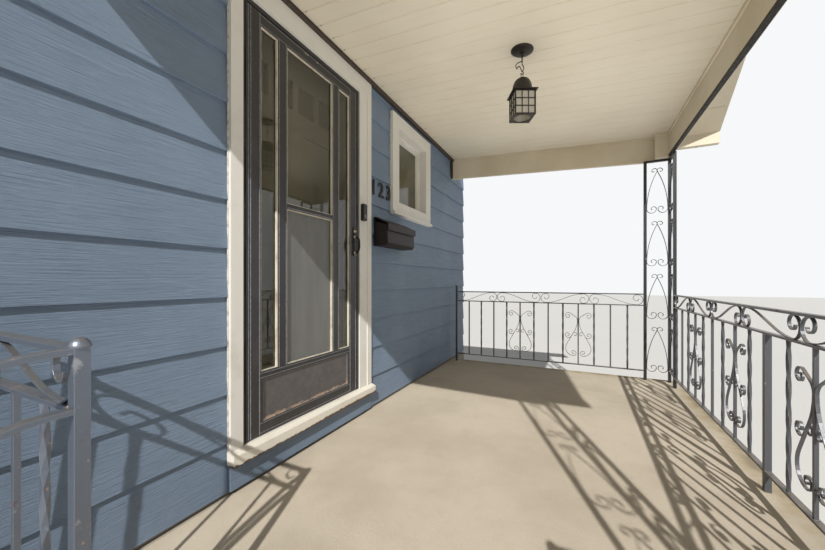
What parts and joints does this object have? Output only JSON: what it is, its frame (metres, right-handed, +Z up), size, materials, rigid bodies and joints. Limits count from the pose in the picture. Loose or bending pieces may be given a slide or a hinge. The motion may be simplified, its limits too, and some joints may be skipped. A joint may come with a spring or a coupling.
{
  "type": "front porch",
  "caption": "Gabled front porch with wrought iron columns and railings, lap-sided house wall, storm door, entry door, window, mailbox and hanging lantern.",
  "frame": {"origin": "on the ground in the middle of the porch, below the outer face of the siding", "axes": "+X along the house wall away from the steps, +Y into the house, +Z up"},
  "size_m": [4.627, 2.668, 4.1391],
  "materials": {
    "concrete": "broom-finished concrete, worn",
    "block": "painted concrete block",
    "wall_frame": "framed wall, modelled solid",
    "siding": "painted wood-grain lap siding, satin",
    "white_trim": "painted wood, satin, chipped",
    "bronze_aluminium": "dark bronze aluminium, worn",
    "glass": "clear window glass",
    "screen": "fine insect mesh in a thin frame",
    "black_metal": "black painted metal",
    "door_paint": "painted panelled door, satin",
    "brass": "aged brass",
    "mailbox_metal": "dark brown enamel, semi-gloss",
    "black_plastic": "matte black plastic",
    "ceiling_boards": "cream painted tongue and groove boards",
    "cream_metal": "cream formed aluminium trim",
    "shingles": "mineral-faced roof shingles",
    "lantern_metal": "dark bronze powder coat",
    "frosted_glass": "seeded frosted glass",
    "iron": "worn black and silver paint over wrought iron, rusted at the joints"
  },
  "bodies": {
    "root": {"porch_slab": "concrete", "porch_foundation": "block", "entry_steps": "concrete", "house_foundation": "block", "wall_left": "wall_frame", "wall_right": "wall_frame", "wall_over_door": "wall_frame", "wall_under_door": "wall_frame", "house_gable": "wall_frame", "siding_left": "siding", "siding_right": "siding", "riser_board": "siding", "front_gable": "siding", "door_casing": "white_trim", "door_jamb": "white_trim", "door_sill": "white_trim", "storm_frame": "bronze_aluminium", "window_trim": "white_trim", "window_sash": "white_trim", "window_glass": "glass", "mailbox_body": "mailbox_metal", "doorbell": "black_plastic", "porch_ceiling": "ceiling_boards", "front_beam": "cream_metal", "far_beam": "cream_metal", "near_beam": "cream_metal", "beam_heads": "cream_metal", "beam_strip": "black_metal", "roof_far": "shingles", "roof_near": "shingles", "rake_boxes": "cream_metal", "eave_boxes": "cream_metal", "lantern_canopy": "lantern_metal", "far_column": "iron", "near_column": "iron", "far_railing": "iron", "front_railing_far": "iron", "front_railing_near": "iron", "near_railing": "iron", "handrails": "iron"},
    "storm": {"storm_door": "bronze_aluminium", "storm_glass": "glass", "storm_screen": "screen", "storm_handle": "black_metal"},
    "entry": {"entry_door": "door_paint", "entry_glass": "glass", "entry_knob": "brass"},
    "lid": {"mailbox_lid": "mailbox_metal"},
    "lantern": {"lantern_cage": "lantern_metal", "lantern_glass": "frosted_glass"}
  },
  "joints": [
    {"name": "storm_hinge", "type": "hinge", "parent": "root", "child": "storm", "pos_m": [-0.98475, -0.003, 0.728], "axis": [0, 0, -1], "range_deg": [0, 90]},
    {"name": "entry_hinge", "type": "hinge", "parent": "root", "child": "entry", "pos_m": [-1.00475, 0.175, 0.728], "axis": [0, 0, 1], "range_deg": [0, 90]},
    {"name": "lid_hinge", "type": "hinge", "parent": "root", "child": "lid", "pos_m": [0.08, -0.012, 1.913], "axis": [-1, 0, 0], "range_deg": [0, 90]},
    {"name": "lantern_swing", "type": "hinge", "parent": "root", "child": "lantern", "pos_m": [0.069, -1.034, 2.67043], "axis": [0.3289, 0.9444, 0], "range_deg": [-20, 20]}
  ]
}
